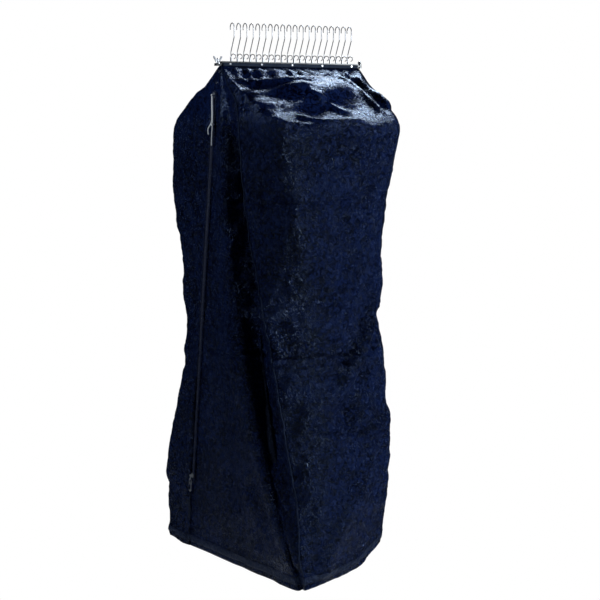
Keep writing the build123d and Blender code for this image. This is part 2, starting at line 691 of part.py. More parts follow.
# Each strand's route, from the eye: (X, Y, Z) from the middle of the eye
LONG_STRAND = (
    (0.0, -1.7, -2.8),
    (-0.6, -2.3, -24.0),
    (0.3, -2.0, -50.0),
    (-0.3, -1.6, -78.0),
    (-1.8, 0.6, -104.0),
    (-1.0, 4.6, -133.0),
)
SHORT_STRAND = (
    (0.0, 1.7, -2.8),
    (-0.6, 1.7, -24.0),
    (0.3, 2.0, -50.0),
    (-0.8, 3.2, -74.0),
    (-4.5, 12.0, -83.0),
    (-7.0, 16.0, -93.0),
    (-6.0, 13.0, -104.0),
)
ARC_SHARE = 0.45  # of the shorter run beside a bend, taken up by its arc


def strand_radii(points):
    """The radius of the arc at each inner point: as large as its two runs allow."""
    radii = []
    for before, here, after in zip(points, points[1:], points[2:]):
        run_in = here - before
        run_out = after - here
        half_turn = math.radians(run_in.get_angle(run_out)) / 2
        radii.append(ARC_SHARE * min(run_in.length, run_out.length) / math.tan(half_turn))
    return radii


def build_strand(route, name):
    """One strand of the pull cord, as straight runs joined by tangent arcs."""
    points = [eye + Vector(*offset_from_eye) for offset_from_eye in route]
    radii = strand_radii(points)
    with BuildPart() as strand:
        with BuildLine() as strand_path:
            FilletPolyline(*points, radius=radii)
        path = strand_path.line
        with BuildSketch(Plane(origin=path @ 0, z_dir=path % 0)):
            Circle(CORD_DIAMETER / 2)
        sweep(path=path)
    save(strand, name)
    length = sum(edge.length for edge in strand_path.edges())
    expected = math.pi * (CORD_DIAMETER / 2) ** 2 * length
    print(name, "length", round(length, 1), "radii", [round(r, 1) for r in radii])
    print(name, "volume", round(strand.part.volume, 1), "of", round(expected, 1))


build_strand(LONG_STRAND, "pull_cord_long")
build_strand(SHORT_STRAND, "pull_cord_short")

with BuildPart() as pull_knot:
    with Locations(eye + Vector(*KNOT_OFFSET, -KNOT_DROP)):
        Sphere(KNOT_RADIUS)
save(pull_knot, "pull_knot")
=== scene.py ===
"""Looks of the garment bag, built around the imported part. Shapes are in millimetres, materials in metres."""

import json
import math

import bpy
import numpy as np
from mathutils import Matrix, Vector, noise


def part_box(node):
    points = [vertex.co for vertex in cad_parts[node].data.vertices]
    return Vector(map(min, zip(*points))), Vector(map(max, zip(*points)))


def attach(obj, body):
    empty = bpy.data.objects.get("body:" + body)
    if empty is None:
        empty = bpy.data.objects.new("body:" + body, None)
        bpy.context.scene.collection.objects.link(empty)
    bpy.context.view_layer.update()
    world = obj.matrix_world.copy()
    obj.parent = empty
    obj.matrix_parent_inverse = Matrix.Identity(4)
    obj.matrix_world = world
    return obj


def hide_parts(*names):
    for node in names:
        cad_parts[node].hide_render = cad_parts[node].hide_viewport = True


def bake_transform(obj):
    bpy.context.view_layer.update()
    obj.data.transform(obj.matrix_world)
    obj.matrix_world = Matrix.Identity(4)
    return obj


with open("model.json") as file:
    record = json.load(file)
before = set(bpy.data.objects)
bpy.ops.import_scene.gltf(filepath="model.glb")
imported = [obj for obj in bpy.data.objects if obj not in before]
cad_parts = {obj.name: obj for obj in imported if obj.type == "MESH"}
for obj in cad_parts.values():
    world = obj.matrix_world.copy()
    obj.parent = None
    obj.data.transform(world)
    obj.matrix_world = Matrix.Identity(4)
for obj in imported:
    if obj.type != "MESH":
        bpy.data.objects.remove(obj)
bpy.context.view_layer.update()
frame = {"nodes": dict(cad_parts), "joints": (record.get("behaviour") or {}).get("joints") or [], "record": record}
MM = 0.001

# ---------------------------------------------------------------- places read from the frame
panel_low, panel_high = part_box("right_end_panel")
HALF_X = panel_high.x / MM
HALF_Y = panel_high.y / MM
RIDGE_Z = panel_high.z / MM
BOTTOM_Z = panel_low.z / MM
RIDGE_HALF = 8.0  # half the width of the ridge between the clamp bars
SHOULDER_DROP = 152.0
SHOULDER_Z = RIDGE_Z - SHOULDER_DROP
joint = {j["name"]: j for j in frame["joints"]}
zip_dir = np.array(joint["upper_slider_run"]["axis"], float)
EYE = np.array(joint["pull_cord_swing"]["pos_m"], float) / MM
UPPER_SLIDER_AT = 12.0
EYE_OUT = 6.9
ZIP_TOP = EYE + [EYE_OUT, 0, 0] - zip_dir * UPPER_SLIDER_AT
ZIP_LENGTH = 1130.0


def zip_y(z):
    """Y of the zipper's middle line at height z, carried on to the hem, and of the slit above it."""
    below = ZIP_TOP[1] + (z - ZIP_TOP[2]) * zip_dir[1] / zip_dir[2]
    above = ZIP_TOP[1] * (RIDGE_Z - z) / (RIDGE_Z - ZIP_TOP[2])
    return np.where(z < ZIP_TOP[2], below, above)


# ---------------------------------------------------------------- node helpers
class Nodes:
    """A short way to write a material's node tree."""

    def __init__(self, name):
        self.material = bpy.data.materials.new(name)
        self.material.use_nodes = True
        self.tree = self.material.node_tree
        self.tree.nodes.clear()
        self.out = self.tree.nodes.new("ShaderNodeOutputMaterial")
        self.bsdf = self.tree.nodes.new("ShaderNodeBsdfPrincipled")
        self.link(self.bsdf.outputs[0], self.out.inputs[0])
        self.place = self.tree.nodes.new("ShaderNodeTexCoord").outputs["Object"]

    def link(self, a, b):
        self.tree.links.new(a, b)

    def set(self, **values):
        for key, value in values.items():
            self.bsdf.inputs[key.replace("_", " ")].default_value = value

    def scaled(self, scale, turn=(0, 0, 0)):
        """Object coordinates, scaled and turned."""
        m = self.tree.nodes.new("ShaderNodeMapping")
        m.inputs["Scale"].default_value = scale
        m.inputs["Rotation"].default_value = turn
        self.link(self.place, m.inputs["Vector"])
        return m.outputs[0]

    def noise(self, scale, detail=3.0, rough=0.5, vector=None, warp=0.0):
        n = self.tree.nodes.new("ShaderNodeTexNoise")
        n.inputs["Scale"].default_value = scale
        n.inputs["Detail"].default_value = detail
        n.inputs["Roughness"].default_value = rough
        n.inputs["Distortion"].default_value = warp
        self.link(vector or self.place, n.inputs["Vector"])
        return n.outputs["Fac"]

    def voronoi(self, scale, feature, vector):
        n = self.tree.nodes.new("ShaderNodeTexVoronoi")
        n.feature = feature
        n.inputs["Scale"].default_value = scale
        self.link(vector, n.inputs["Vector"])
        return n.outputs["Distance"]

    def wave(self, scale, axis="Z", vector=None):
        n = self.tree.nodes.new("ShaderNodeTexWave")
        n.bands_direction = axis
        n.inputs["Scale"].default_value = scale
        self.link(vector or self.place, n.inputs["Vector"])
        return n.outputs["Fac"]

    def math(self, kind, a, b=0.0):
        n = self.tree.nodes.new("ShaderNodeMath")
        n.operation = kind
        for socket, value in zip(n.inputs, (a, b)):
            if isinstance(value, (int, float)):
                socket.default_value = value
            else:
                self.link(value, socket)
        return n.outputs[0]

    def span(self, value, low, high, to_low=0.0, to_high=1.0):
        """A value mapped from one range to another, and held inside it."""
        n = self.tree.nodes.new("ShaderNodeMapRange")
        for socket, v in zip(n.inputs[1:5], (low, high, to_low, to_high)):
            socket.default_value = v
        self.link(value, n.inputs[0])
        return n.outputs[0]

    def mix(self, share, a, b):
        n = self.tree.nodes.new("ShaderNodeMix")
        n.data_type = "RGBA"
        self.link(share, n.inputs[0])
        for socket, value in ((n.inputs[6], a), (n.inputs[7], b)):
            if isinstance(value, (tuple, list)):
                socket.default_value = (*value, 1.0)
            else:
                self.link(value, socket)
        return n.outputs[2]

    def colour(self, value):
        self.link(value, self.bsdf.inputs["Base Color"])

    def rough(self, value):
        self.link(value, self.bsdf.inputs["Roughness"])

    def bump(self, *layers):
        """Each layer is (height socket, strength, distance in metres)."""
        normal = None
        for height, strength, distance in layers:
            n = self.tree.nodes.new("ShaderNodeBump")
            if isinstance(strength, (int, float)):
                n.inputs["Strength"].default_value = strength
            else:
                self.link(strength, n.inputs["Strength"])
            n.inputs["Distance"].default_value = distance
            self.link(height, n.inputs["Height"])
            if normal is not None:
                self.link(normal, n.inputs["Normal"])
            normal = n.outputs[0]
        self.link(normal, self.bsdf.inputs["Normal"])


SHEEN_TINT = (0.42, 0.60, 1.0, 1.0)


def cloth_material(name, dark, light, rough, specular):
    """Coated nylon: a navy ground with painted highlight on the crinkle's ridges and painted shade in its hollows,
    broad random blotches of tone, a fine crinkle and a plain weave.
    """
    m = Nodes(name)
    crinkle = m.noise(84.0, 4.0, 0.6, warp=1.5)
    blotch = m.noise(9.0, 3.0, 0.5)
    # painted highlight and shade: the colour runs from dark to light with the crinkle noise that also raises the
    # bump, so ridges are lighter and hollows darker; the blotch is random tone
    share = m.math("ADD", m.math("MULTIPLY", crinkle, 0.85), m.math("MULTIPLY", blotch, 0.22))
    m.colour(m.mix(m.span(share, 0.47, 0.60), dark, light))
    m.rough(m.span(m.noise(45.0, 4.0, 0.6), 0.3, 0.7, *rough))
    m.set(Metallic=0.0, Specular_IOR_Level=specular, Specular_Tint=SHEEN_TINT)
    crease = m.span(m.voronoi(58.0, "DISTANCE_TO_EDGE", m.scaled((1.0, 1.0, 0.8))), 0.0, 0.14)
    weave = m.math("MULTIPLY", m.wave(330.0, "Z"), m.math("ADD", m.wave(330.0, "X"), m.wave(330.0, "Y")))
    place = m.tree.nodes.new("ShaderNodeSeparateXYZ")
    m.link(m.place, place.inputs[0])
    smoother = m.span(place.outputs[2], -0.29, -0.22, 1.0, 0.22)  # pulled tight over the hangers
    crease_strength = m.math("MULTIPLY", smoother, 0.55)
    m.bump((weave, 0.12, 0.0002), (crinkle, smoother, 0.0125), (crease, crease_strength, 0.0018))
    return m.material


def binding_material(name, dark, light):
    """Ribbed edge tape."""
    m = Nodes(name)
    m.colour(m.mix(m.span(m.noise(160.0, 3.0), 0.35, 0.7), dark, light))
    m.rough(m.span(m.noise(120.0, 3.0), 0.3, 0.7, 0.45, 0.62))
    m.set(Specular_IOR_Level=0.3, Specular_Tint=SHEEN_TINT)
    rib = m.math("ADD", m.wave(240.0, "Z"), m.wave(240.0, "X"))
    m.bump((rib, 0.35, 0.0004), (m.noise(220.0, 2.0), 0.2, 0.0004))
    return m.material


def metal_material(name, base, rough, scratch=0.02, worn=None):
    """Bare or plated metal with a drawn grain; worn is its darker colour."""
    m = Nodes(name)
    grain = m.noise(60.0, 4.0, 0.6, m.scaled((1.0, 1.0, 0.12)))
    m.colour(m.mix(m.span(grain, 0.3, 0.7), worn or [c * 0.8 for c in base], base))
    m.rough(m.span(m.noise(300.0, 3.0, 0.6), 0.3, 0.7, *rough))
    m.set(Metallic=1.0)
    m.bump((m.noise(700.0, 2.0), scratch, 0.0003))
    return m.material


def enamel_material():
    """Black enamel on steel, with a few chips."""
    m = Nodes("bar_steel_mat")
    chips = m.span(m.noise(420.0, 5.0, 0.7), 0.68, 0.74)
    m.colour(m.mix(chips, (0.008, 0.008, 0.010), (0.09, 0.085, 0.08)))
    m.rough(m.span(m.noise(150.0, 3.0), 0.3, 0.7, 0.22, 0.4))
    m.set(Specular_IOR_Level=0.6, Coat_Weight=0.35, Coat_Roughness=0.12)
    m.bump((m.noise(260.0, 3.0), 0.12, 0.0004))
    return m.material


def rubber_material():
    """Matte ribbed rubber."""
    m = Nodes("grip_rubber_mat")
    m.colour(m.mix(m.noise(200.0, 3.0), (0.008, 0.008, 0.008), (0.022, 0.021, 0.02)))
    m.rough(m.span(m.noise(90.0), 0.3, 0.7, 0.7, 0.9))
    m.bump((m.wave(160.0, "Z"), 0.6, 0.0006), (m.noise(500.0), 0.2, 0.0002))
    return m.material


def cord_material():
    """White braid: two sets of strands that cross, with a little soiling."""
    m = Nodes("cord_white_mat")
    one = m.wave(190.0, "DIAGONAL")
    other = m.wave(190.0, "Z", m.scaled((1.0, 1.0, 1.0), (0.8, 0.8, 0.0)))
    braid = m.math("MAXIMUM", one, other)
    soil = m.noise(60.0, 4.0, 0.6)
    m.colour(m.mix(m.span(soil, 0.3, 0.9), (0.97, 0.97, 0.96), (0.82, 0.82, 0.80)))
    m.rough(m.span(braid, 0.0, 1.0, 0.85, 0.6))
    m.bump((braid, 0.8, 0.0006))
    return m.material


def tape_material():
    """Twill tape of the zipper."""
    m = Nodes("zipper_tape_mat")
    m.colour(m.mix(m.span(m.noise(240.0, 3.0), 0.3, 0.7), (0.004, 0.006, 0.018), (0.011, 0.015, 0.038)))
    m.rough(m.span(m.noise(200.0), 0.3, 0.7, 0.5, 0.7))
    twill = m.wave(420.0, "Z", m.scaled((1.0, 1.0, 1.0), (0.7, 0.0, 0.0)))
    m.bump((twill, 0.5, 0.0003))
    return m.material


def teeth_material():
    """Glossy nylon teeth."""
    m = Nodes("zipper_teeth_mat")
    m.colour(m.mix(m.noise(300.0), (0.014, 0.020, 0.050), (0.040, 0.052, 0.100)))
    m.rough(m.span(m.noise(400.0), 0.3, 0.7, 0.22, 0.38))
    m.bump((m.noise(900.0, 2.0), 0.15, 0.0002))
    return m.material


CLOTH = cloth_material("bag_cloth_mat", (0.0002, 0.0005, 0.0045), (0.0045, 0.0110, 0.0500),
                       (0.19, 0.32), 0.20)
LINING = cloth_material("lining_mat", (0.002, 0.003, 0.009), (0.005, 0.007, 0.018), (0.5, 0.65), 0.3)
BINDING = binding_material("binding_cloth_mat", (0.0006, 0.0018, 0.009), (0.0022, 0.006, 0.024))
WEBBING = binding_material("webbing_mat", (0.0008, 0.0009, 0.0016), (0.0030, 0.0034, 0.0060))
MATERIALS = {
    "bag_cloth": CLOTH,
    "binding_cloth": BINDING,
    "bar_steel": enamel_material(),
    "grip_rubber": rubber_material(),
    "hardware_chrome": metal_material("hardware_chrome_mat", (0.42, 0.42, 0.44), (0.20, 0.34)),
    "hanger_wire": metal_material("hanger_wire_mat", (0.34, 0.34, 0.36), (0.22, 0.42), 0.05,
                                  (0.16, 0.16, 0.17)),
    "zipper_tape": tape_material(),
    "zipper_teeth": teeth_material(),
    "slider_metal": metal_material("slider_metal_mat", (0.88, 0.88, 0.88), (0.30, 0.46), 0.05),
    "cord_white": cord_material(),
}
slot_of = {s["node"]: s["material_slot"] for s in frame["record"]["subparts"]}
for node_name, node in frame["nodes"].items():
    node.data.materials.clear()
    node.data.materials.append(MATERIALS[slot_of[node_name]])


# ---------------------------------------------------------------- mesh helpers
def make_object(name, points, faces, slot, material=None):
    """A mesh object from points in millimetres."""
    mesh = bpy.data.meshes.new(name)
    mesh.from_pydata((np.asarray(points, float) * MM).tolist(), [], faces)
    mesh.materials.append(material or MATERIALS[slot])
    mesh.polygons.foreach_set("use_smooth", [True] * len(mesh.polygons))
    mesh.update()
    obj = bpy.data.objects.new(name, mesh)
    bpy.context.scene.collection.objects.link(obj)
    return obj


def grid_faces(rows, cols, closed=False, flip=False):
    """Quads of a grid of points stored row by row."""
    faces = []
    for i in range(rows - 1):
        for j in range(cols if closed else cols - 1):
            k = (j + 1) % cols
            quad = (i * cols + j, i * cols + k, (i + 1) * cols + k, (i + 1) * cols + j)
            faces.append(quad[::-1] if flip else quad)
    return faces


def keyed(keys, at):
    """Cubic interpolation of values keyed at heights, highest first, and held beyond both ends."""
    zs = np.array([k[0] for k in keys], float)[::-1]
    vs = np.array([k[1] for k in keys], float)[::-1]
    slopes = np.gradient(vs, zs)
    at = np.clip(at, zs[0], zs[-1])
    i = np.clip(np.searchsorted(zs, at) - 1, 0, len(zs) - 2)
    h = zs[i + 1] - zs[i]
    t = (at - zs[i]) / h
    return (
        (2 * t**3 - 3 * t**2 + 1) * vs[i]
        + (t**3 - 2 * t**2 + t) * h * slopes[i]
        + (-2 * t**3 + 3 * t**2) * vs[i + 1]
        + (t**3 - t**2) * h * slopes[i + 1]
    )


# ---------------------------------------------------------------- the bag's shell
# Each landmark runs down the bag: (name, X and Y keyed at LEVELS, bottom height, columns to the next one)
LEVELS = (-255, -480, -720, -960, -1215, -1467)
LANDMARKS = (
    ("back_left", (-230, -230, -220, -220, -240, -240), (320, 315, 250, 275, 330, 335), -1462, 28),
    ("left_back", (-215, -215, -210, -210, -220, -220), (180, 190, 180, 210, 260, 265), -1474, 28),
    ("zip", (-209, -209, -209, -209, -209, -205), None, -1478, 14),
    ("valley_left", None, None, -1474, 10),
    ("valley", None, None, -1470, 12),
    ("ridge", None, None, -1466, 18),
    ("front_left", (-185, -140, -100, -70, -50, -55), (-270, -260, -260, -275, -300, -280), -1456, 36),
    ("front_mid", (30, 30, 40, 55, 70, 75), (-305, -280, -260, -265, -280, -260), -1436, 30),
    ("front_right", (220, 200, 190, 200, 210, 195), (-260, -200, -180, -205, -215, -190), -1380, 32),
    ("right_mid", (210, 205, 200, 200, 205, 205), (10, 15, 25, 30, 40, 50), -1430, 50),
    ("back_right", (210, 208, 205, 205, 205, 205), (305, 275, 255, 270, 295, 295), -1448, 40),
    ("back_mid", (-10, -15, -25, -35, -50, -60), (310, 290, 270, 280, 310, 305), -1454, 40),
)
TOP_Y = {"back_left": 8, "left_back": 5, "zip": 0, "valley_left": -1.5, "valley": -3, "ridge": -5,
         "front_left": -8, "front_mid": -8, "front_right": -8, "right_mid": 0, "back_right": 8, "back_mid": 8}
TOP_X = {"front_mid": 0, "back_mid": 0, "front_right": 1, "right_mid": 1, "back_right": 1}


def pleat_line(name, z):
    """X and Y below the shoulder of the pleat that crosses from the zipper to the near bottom corner."""
    t = np.clip((LEVELS[0] - z) / (LEVELS[0] - LEVELS[-1]), 0, 1)
    ease = t * t * (3 - 2 * t)
    mouth_y = 10 - 270 * t**2
    if name == "valley_left":
        return -205 + 90 * t**2, mouth_y
    if name == "valley":
        lead_in = np.clip(t / 0.12, 0, 1)
        return -185 + 65 * lead_in * (2 - lead_in) + 20 * t, mouth_y - 28 * (1 - t)
    return -210 + 105 * ease, -112 - 168 * t


COLS_OF = {}  # column of each landmark, filled in by base_shell
SPACING = 4.6  # between rows on the body
ROOF_SPACING = 4.2
SHOULDER_RADIUS = 70.0


def profile():
    """Heights and spread (0 at the ridge, 1 below the shoulder) of the rows of the shell."""
    drop = RIDGE_Z - SHOULDER_Z
    reach = HALF_Y - RIDGE_HALF
    radius = SHOULDER_RADIUS
    slope = math.atan2(drop, reach)
    tangent = radius * math.tan((math.pi / 2 - slope) / 2)
    steps = []
    run = math.hypot(drop, reach) - tangent
    for s in np.arange(0, run, ROOF_SPACING):
        steps.append((RIDGE_Z - s * math.sin(slope), s * math.cos(slope) / reach))
    cy = HALF_Y - radius
    cz = SHOULDER_Z - tangent
    for turn in np.linspace(math.pi / 2 - slope, 0, 17)[:-1]:
        steps.append((cz + radius * math.sin(turn), (cy + radius * math.cos(turn) - RIDGE_HALF) / reach))
    for z in np.arange(cz, BOTTOM_Z + 1, -SPACING):
        steps.append((z, 1.0))
    return np.array(steps)


PROFILE = profile()
ROWS = len(PROFILE)
row_z, row_f = PROFILE[:, 0], PROFILE[:, 1]
body_z = np.minimum(row_z, LEVELS[0])


def landmark_lines():
    """X, Y and Z of every landmark at every row."""
    lines = []
    first_body = row_z[row_f >= 1.0][0]
    up = np.clip((RIDGE_Z - row_z) / (RIDGE_Z - LEVELS[0]), 0, 1)
    for name, xs, ys, bottom, _ in LANDMARKS:
        top_x = HALF_X * TOP_X.get(name, -1)
        if xs:
            x_body = keyed(list(zip(LEVELS, xs)), body_z)
            y_body = keyed(list(zip(LEVELS, ys)), body_z) if ys else zip_y(row_z)
            y_share = row_f if ys else 1
        else:
            x_body, y_body = pleat_line(name, body_z)
            y_share = np.sin(up * math.pi / 2)
        x = top_x + (x_body - top_x) * row_f
        y = TOP_Y[name] + (y_body - TOP_Y[name]) * y_share
        share = np.clip((first_body - row_z) / (first_body - BOTTOM_Z), 0, 1)
        z = row_z + (bottom - BOTTOM_Z) * share**2
        lines.append(np.stack([x, y, z], 1))
    return lines


def base_shell():
    """The closed shell as an array of rows, columns and XYZ, before folds."""
    lines = landmark_lines()
    parts = []
    at = 0
    for i, (name, *_, count) in enumerate(LANDMARKS):
        COLS_OF[name] = at
        here, there = lines[i], lines[(i + 1) % len(lines)]
        t = np.arange(count)[None, :, None] / count
        parts.append(here[:, None, :] * (1 - t) + there[:, None, :] * t)
        at += count
    return np.concatenate(parts, 1)


P = base_shell()
COLS = P.shape[1]
col = np.arange(COLS)


def from_landmark(name):
    """Signed distance in columns from a landmark, round the loop."""
    d = col - COLS_OF[name]
    return (d + COLS / 2) % COLS - COLS / 2


def near(name, width):
    """1 on a landmark's column, fading to 0 over a width in columns."""
    return np.exp(-((from_landmark(name) / width) ** 2))


def round_corners(points, passes=90):
    """Averages each loop with its neighbours, less at crisp folds and along the roof's edges."""
    on_roof = np.clip((-250 - row_z) / 90.0 + 1.0, 0.04, 1)[:, None]
    keep = 1 - 0.985 * near("ridge", 2.2)[None, :] * np.clip((-120 - row_z) / 60, 0, 1)[:, None]
    pleat = np.clip((from_landmark("valley_left") + 5) / 3, 0, 1)
    pleat = pleat * np.clip((5 - from_landmark("ridge")) / 3, 0, 1)
    keep = keep * (1 - 0.94 * pleat[None, :]) * (1 - 0.55 * near("zip", 2.5)[None, :])
    keep = keep * (1 - 0.8 * near("back_left", 7)[None, :] * np.clip((-1220 - row_z) / 150, 0, 1)[:, None])
    sharp_low = 1 - 0.55 * near("front_left", 4)[None, :] * np.clip((-1000 - row_z) / 300, 0, 1)[:, None]
    strength = (on_roof * keep * sharp_low)[:, :, None] * 0.5
    for _ in range(passes):
        mean = (np.roll(points, 1, 1) + np.roll(points, -1, 1)) / 2
        points = points + strength * (mean - points)
    soft = near("front_left", 9)[None, :] * np.clip((-235 - row_z) / 60, 0, 1)[:, None]
    soft = soft * np.clip((row_z + 1430) / 260, 0, 1)[:, None] * keep
    for _ in range(140):
        mean = (np.roll(points, 1, 1) + np.roll(points, -1, 1)) / 2
        points = points + 0.5 * soft[:, :, None] * (mean - points)
    return points


def normals(points):
    """Outward unit normals of the closed shell."""
    across = np.roll(points, -1, 1) - np.roll(points, 1, 1)
    down = np.gradient(points, axis=0)
    n = np.cross(across, down)
    n /= np.linalg.norm(n, axis=2, keepdims=True) + 1e-9
    return -n


P = round_corners(P)
sag = 12 * np.exp(-(((row_f - 0.27) / 0.17) ** 2)) * np.clip(row_f / 0.08, 0, 1)
P[..., 2] -= sag[:, None] * (1 - 0.95 * np.exp(-((P[..., 0] / 160) ** 4)))
N = normals(P)
flat_middle = P[ROWS // 2].mean(0)
if ((P[ROWS // 2] - flat_middle) * N[ROWS // 2]).sum() < 0:
    N = -N


# ---------------------------------------------------------------- folds
def along(points, path):
    """Distance from 2-D points to a path, and the share of the path's length at the nearest place."""
    path = np.array(path, float)
    lengths = np.linalg.norm(np.diff(path, axis=0), axis=1)
    total = lengths.sum()
    best = np.full(points.shape[:-1], 1e9)
    side = np.zeros_like(best)
    share = np.zeros_like(best)
    run = 0.0
    for a, b, length in zip(path, path[1:], lengths):
        d = (b - a) / length
        rel = points - a
        t = np.clip(rel @ d, 0, length)
        off = rel - t[..., None] * d
        dist = np.linalg.norm(off, axis=-1)
        cross = rel[..., 0] * d[1] - rel[..., 1] * d[0]
        closer = dist < best
        best = np.where(closer, dist, best)
        side = np.where(closer, np.sign(cross), side)
        share = np.where(closer, (run + t) / total, share)
        run += length
    return best, side, share


def fold(plane, path, height, width, other=None, fade=0.15, mask=None):
    """A ridge (or, with a negative height, a valley) along a path. other is its width on the second side."""
    dist, side, share = along(plane, path)
    w = np.where(side > 0, width, other if other else width)
    ends = np.clip(share / fade, 0, 1) * np.clip((1 - share) / fade, 0, 1)
    bulge = height * np.exp(-((dist / w) ** 2)) * ends**0.7
    return bulge * (1 if mask is None else mask)


X, Y, Z = P[..., 0], P[..., 1], P[..., 2]
front = np.clip(-N[..., 1] * 2.2, 0, 1)
left = np.clip(-N[..., 0] * 2.2, 0, 1)
back = np.clip(N[..., 1] * 2.2, 0, 1)
right = np.clip(N[..., 0] * 2.2, 0, 1)
XZ = np.stack([X, Z], -1)
YZ = np.stack([Y, Z], -1)
push = np.zeros_like(X)

# left end panel: the fold beside the zipper, and the soft ones that fan from the shoulder
push += fold(YZ, [(50, -200), (150, -470), (245, -780)], 13, 12, 20, mask=left)
push += fold(YZ, [(5, -200), (0, -500), (-35, -840)], 10, 9, 12, mask=left)
push += fold(YZ, [(105, -250), (215, -560)], -9, 16, mask=left)
push += fold(YZ, [(190, -260), (260, -540)], 10, 22, mask=left)
push += fold(YZ, [(230, -950), (320, -1300)], 14, 16, mask=left)
push += fold(YZ, [(170, -950), (260, -1370)], 12, 13, mask=left)
push += fold(YZ, [(130, -1060), (215, -1400)], 9, 16, mask=left)
push += fold(YZ, [(90, -900), (20, -1330)], -13, 40, mask=left)
push += fold(YZ, [(-20, -750), (-90, -1000), (-260, -1420)], 34, 26, 48, mask=left)
push += fold(YZ, [(-40, -1240), (-200, -1440)], 12, 18, mask=left)
# front: the long diagonal drape from the right side, and the smaller ones round it
push += fold(XZ, [(160, -600), (90, -780), (0, -940), (-100, -990)], 40, 16, 50, fade=0.4, mask=front)
push += fold(XZ, [(170, -740), (0, -1050)], -34, 30, mask=front)
push += fold(XZ, [(150, -980), (60, -1220), (-60, -1440)], 9, 24, 40, mask=front)
push += fold(XZ, [(190, -1010), (150, -1300)], 8, 20, mask=front)
push += fold(XZ, [(-130, -330), (-60, -820)], 5, 24, mask=front)
push += fold(XZ, [(60, -320), (120, -560)], 6, 24, mask=front)
push += fold(XZ, [(-20, -420), (30, -720)], -5, 30, mask=front)
push += fold(XZ, [(0, -1120), (-60, -1420)], -6, 22, mask=front)
# the two light folds that meet at the near bottom corner
push += fold(XZ, [(40, -1180), (-60, -1440)], 8, 14, mask=front)
push += fold(YZ, [(-150, -1120), (-230, -1260), (-270, -1430)], 12, 11, mask=left)
# back and right side: long soft drapes
push += fold(XZ, [(-120, -300), (-90, -600), (-120, -900), (-80, -1300)], 9, 34, mask=back)
push += fold(XZ, [(20, -330), (60, -640), (30, -980), (50, -1350)], 11, 30, 44, mask=back)
push += fold(XZ, [(140, -280), (110, -560), (130, -800)], 8, 26, mask=back)
push += fold(XZ, [(-30, -700), (-10, -1000), (-40, -1380)], -8, 30, mask=back)
push += fold(YZ, [(-120, -300), (-60, -620), (-90, -940), (-60, -1300)], 10, 32, mask=right)
push += fold(YZ, [(80, -280), (110, -580), (90, -900), (130, -1300)], 11, 30, 44, mask=right)
push += fold(YZ, [(10, -420), (20, -760), (0, -1100)], -9, 34, mask=right)
push += fold(YZ, [(200, -420), (190, -760), (220, -1150)], 8, 30, mask=right)


# creases pressed in while the bag was folded in its pack
def crease(plane, path, depth, mask):
    """A narrow furrow between two soft banks."""
    furrow = fold(plane, path, -4.6 * depth, 6, fade=0.06, mask=mask)
    banks = fold(plane, path, 2.4 * depth, 16, fade=0.06, mask=mask)
    return furrow + banks


push += crease(YZ, [(240, -885), (-140, -860)], 2.2, left)
push += crease(XZ, [(-170, -860), (60, -850)], 2.4, front)
push += crease(XZ, [(-70, -1050), (170, -1070)], 3.0, front)
push += crease(XZ, [(-190, -460), (-30, -450), (170, -400)], 2.2, front)
push += crease(XZ, [(180, -860), (-190, -880)], 1.2, back)
push += crease(XZ, [(180, -455), (-190, -470)], 1.0, back)
push += crease(YZ, [(-150, -860), (240, -860)], 1.2, right)

# the roof: the cloth sags between the hangers and the shoulder, and catches on each hanger
roof = np.clip((1 - row_f) / 0.08, 0, 1)[:, None] * np.clip(row_f / 0.1, 0, 1)[:, None]
roof_front = roof * (front > 0.3)
hollow_z = -212 + 0.10 * X
middle = np.exp(-(((X - 5) / 124) ** 4))
push += 24 * roof_front * middle * np.exp(-(((row_f[:, None] - 0.42) / 0.19) ** 2))
push -= 15 * roof_front * middle * np.exp(-(((Z - hollow_z + 6) / (24 + 0.08 * X)) ** 4))
for path, height, wide in (
    ([(-120, -225), (-30, -245), (80, -245)], 12, 7),
    ([(-40, -180), (70, -220)], 7, 6),
    ([(110, -125), (140, -160), (160, -230)], 11, 8),
    ([(175, -120), (205, -215)], 12, 8),
    ([(150, -120), (185, -225)], -8, 8),
    ([(-185, -112), (140, -124)], 5, 6),
    ([(-190, -128), (110, -138)], -5, 6),
    ([(-190, -140), (-60, -150), (80, -140)], 7, 7),
    ([(-195, -160), (40, -160)], -6, 7),
    ([(-200, -172), (-10, -170)], 8, 8),
    ([(-195, -202), (-110, -202)], 6, 9),
):
    push += fold(XZ, path, height, wide, mask=front * (row_f[:, None] < 1.0))
push -= 6 * roof * np.exp(-(((X + 120) / 50) ** 2) - (((Z + 175) / 25) ** 2))
push -= 9 * roof * (back > 0.3) * np.exp(-(((X + 20) / 110) ** 2) - (((Z + 205) / 28) ** 2))
gathers = np.sin(X / 6.1 + 1.3 * np.sin(X / 23.0)) * np.exp(-(((row_f[:, None] - 0.12) / 0.11) ** 2))
push += 2.4 * gathers * np.clip(front + back, 0, 1)


def ripple(scale, stretch, octaves=4, seed=(0, 0, 0), ridged=False):
    """Noise over the shell, from -1 to 1, as wide as scale millimetres."""
    values = np.empty(ROWS * COLS)
    flat = (P.reshape(-1, 3) * np.array(stretch) / scale) + np.array(seed)
    for i, point in enumerate(flat):
        v = Vector(point)
        if ridged:
            values[i] = noise.ridged_multi_fractal(v, 1.0, 2.1, octaves, 1.0, 2.0) - 1.0
        else:
            values[i] = noise.fractal(v, 0.8, 2.0, octaves)
    return values.reshape(ROWS, COLS)


loose = np.clip((row_f - 0.05) / 0.3, 0, 1)[:, None]
loose = loose * (0.35 + 0.65 * np.clip((-250 - Z) / 160, 0, 1))
push += 6 * loose * ripple(170, (1, 1, 0.45), 3, (3, 7, 1))
push += 4 * loose * ripple(52, (1, 1, 0.7), 4, (9, 2, 5), ridged=True)
push += 1.1 * loose * ripple(20, (1, 1, 1), 3, (1, 4, 8))

